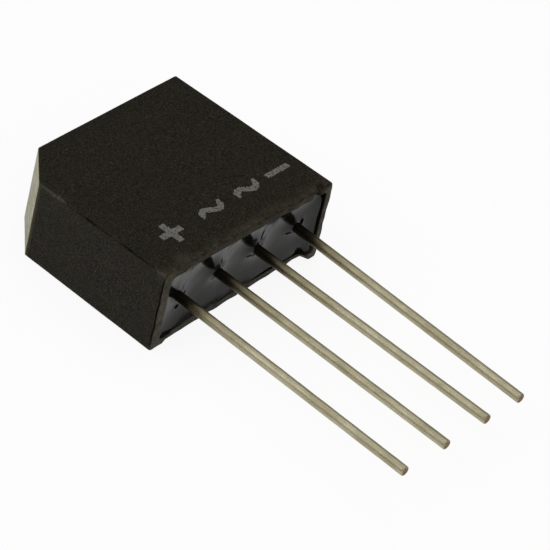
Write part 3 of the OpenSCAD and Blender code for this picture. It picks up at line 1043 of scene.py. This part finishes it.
def make_marks():
    ink = pad_print()
    x = [lead_line(name)[0][0] for name in LEADS]
    make_mark("mark_plus", x[0] + 1.07, plus_sign, ink, 100)
    make_mark("mark_ac_1", x[1] + 1.12, wave_sign, ink, 110)
    make_mark("mark_ac_2", x[2] + 0.76, wave_sign, ink, 120)
    make_mark("mark_minus", x[3] + 0.02, minus_sign, ink, 130)


# ---- Inner pieces ----

def finish_inner_nodes():
    """The pieces inside the epoxy keep their CAD shapes and get their real metals."""
    copper = metal("copper_bar", (0.55, 0.27, 0.16), (0.80, 0.45, 0.30), 0.6, 0.25, 0.45)
    silicon = metal("silicon_die", (0.16, 0.18, 0.22), (0.30, 0.32, 0.38), 0.3, 0.15, 0.3)
    solder = metal("solder", (0.42, 0.42, 0.43), (0.66, 0.66, 0.67), 0.25, 0.3, 0.55)
    for name, node in frame["nodes"].items():
        if node.hide_render:
            continue
        node.data.materials.clear()
        kind = name.split("_")[0]
        node.data.materials.append({"busbar": copper, "die": silicon}.get(kind, solder))


# ---- Stage ----

# The camera: its angles in degrees, its distance and target in millimetres; the floor's half side in metres
LENS_MM = 319.4
AZIMUTH = -56.529
ELEVATION = 39.178
ROLL = -13.822
DISTANCE = 311.72
TARGET = Vector((1.110, -8.844, 3.169))
FLOOR_REACH = 0.12


def make_camera():
    azimuth, elevation = math.radians(AZIMUTH), math.radians(ELEVATION)
    level = math.cos(elevation)
    back = Vector((math.sin(azimuth) * level, -math.cos(azimuth) * level, math.sin(elevation)))
    right = Vector((0, 0, 1)).cross(back).normalized()
    up = back.cross(right)
    roll = math.radians(ROLL)
    turned = right * math.cos(roll) - up * math.sin(roll)
    upward = right * math.sin(roll) + up * math.cos(roll)
    data = bpy.data.cameras.new("camera")
    data.lens = LENS_MM
    data.clip_start = 0.01
    camera = bpy.data.objects.new("camera", data)
    bpy.context.scene.collection.objects.link(camera)
    place = (TARGET + back * DISTANCE) * MM
    camera.matrix_world = Matrix((
        (turned.x, upward.x, back.x, place.x),
        (turned.y, upward.y, back.y, place.y),
        (turned.z, upward.z, back.z, place.z),
        (0, 0, 0, 1),
    ))
    bpy.context.scene.camera = camera


def make_lamp(name, azimuth, elevation, distance, size, radiance):
    """A soft square lamp that faces the part, of a given brightness as seen from it."""
    a, e = math.radians(azimuth), math.radians(elevation)
    direction = Vector((math.sin(a) * math.cos(e), math.cos(a) * math.cos(e), math.sin(e)))
    data = bpy.data.lights.new(name, "AREA")
    data.shape = "SQUARE"
    data.size = size
    data.energy = radiance * math.pi * size * size
    lamp = bpy.data.objects.new(name, data)
    bpy.context.scene.collection.objects.link(lamp)
    lamp.location = direction * distance
    lamp.rotation_euler = direction.to_track_quat("Z", "Y").to_euler()


def make_world():
    """A soft studio: dim by the horizon, brighter overhead; white to the camera."""
    world = bpy.data.worlds.new("studio")
    world.use_nodes = True
    tree = world.node_tree
    tree.nodes.clear()
    place = tree.nodes.new("ShaderNodeTexCoord")
    split = tree.nodes.new("ShaderNodeSeparateXYZ")
    tree.links.new(place.outputs["Generated"], split.inputs[0])
    ramp = tree.nodes.new("ShaderNodeValToRGB")
    ramp.color_ramp.elements[0].position = 0.0
    ramp.color_ramp.elements[0].color = (0.10, 0.10, 0.10, 1)
    ramp.color_ramp.elements[1].position = 0.9
    ramp.color_ramp.elements[1].color = (0.4, 0.4, 0.4, 1)
    tree.links.new(split.outputs["Z"], ramp.inputs["Fac"])
    room = tree.nodes.new("ShaderNodeBackground")
    tree.links.new(ramp.outputs["Color"], room.inputs["Color"])
    white = tree.nodes.new("ShaderNodeBackground")
    white.inputs["Color"].default_value = (1, 1, 1, 1)
    path = tree.nodes.new("ShaderNodeLightPath")
    pick = tree.nodes.new("ShaderNodeMixShader")
    tree.links.new(path.outputs["Is Camera Ray"], pick.inputs[0])
    tree.links.new(room.outputs[0], pick.inputs[1])
    tree.links.new(white.outputs[0], pick.inputs[2])
    out = tree.nodes.new("ShaderNodeOutputWorld")
    tree.links.new(pick.outputs[0], out.inputs["Surface"])
    bpy.context.scene.world = world


def make_floor():
    mesh = bpy.data.meshes.new("floor")
    signs = ((-1, -1), (1, -1), (1, 1), (-1, 1))
    mesh.from_pydata([(FLOOR_REACH * x, FLOOR_REACH * y, 0) for x, y in signs], [], [(0, 1, 2, 3)])
    mesh.materials.append(floor_paper())
    floor = bpy.data.objects.new("floor", mesh)
    bpy.context.scene.collection.objects.link(floor)
    floor.location.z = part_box("case_shell")[0].z


def make_stage():
    make_camera()
    make_world()
    make_floor()
    make_lamp("key", -55, 42, 0.6, 0.45, 1.2)
    make_lamp("top", 60, 75, 0.6, 0.5, 0.9)
    make_lamp("fill", -150, 40, 0.7, 0.45, 0.7)
    bpy.context.scene.view_settings.view_transform = "Standard"


# ---- The part ----

make_case(case_plastic())
make_potting(potting_epoxy())
wire_material, copper_material = tinned_wire(), cut_copper()
LOWER_ROW = sum(corner.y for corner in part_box("die_minus_1")) / 2 / MM
UPPER_ROW = sum(corner.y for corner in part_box("die_plus_1")) / 2 / MM
make_lead("lead_plus", [UPPER_ROW], wire_material, copper_material)
make_lead("lead_ac_1", [LOWER_ROW, UPPER_ROW], wire_material, copper_material)
make_lead("lead_ac_2", [LOWER_ROW, UPPER_ROW], wire_material, copper_material)
make_lead("lead_minus", [LOWER_ROW], wire_material, copper_material)
make_marks()
finish_inner_nodes()
make_stage()
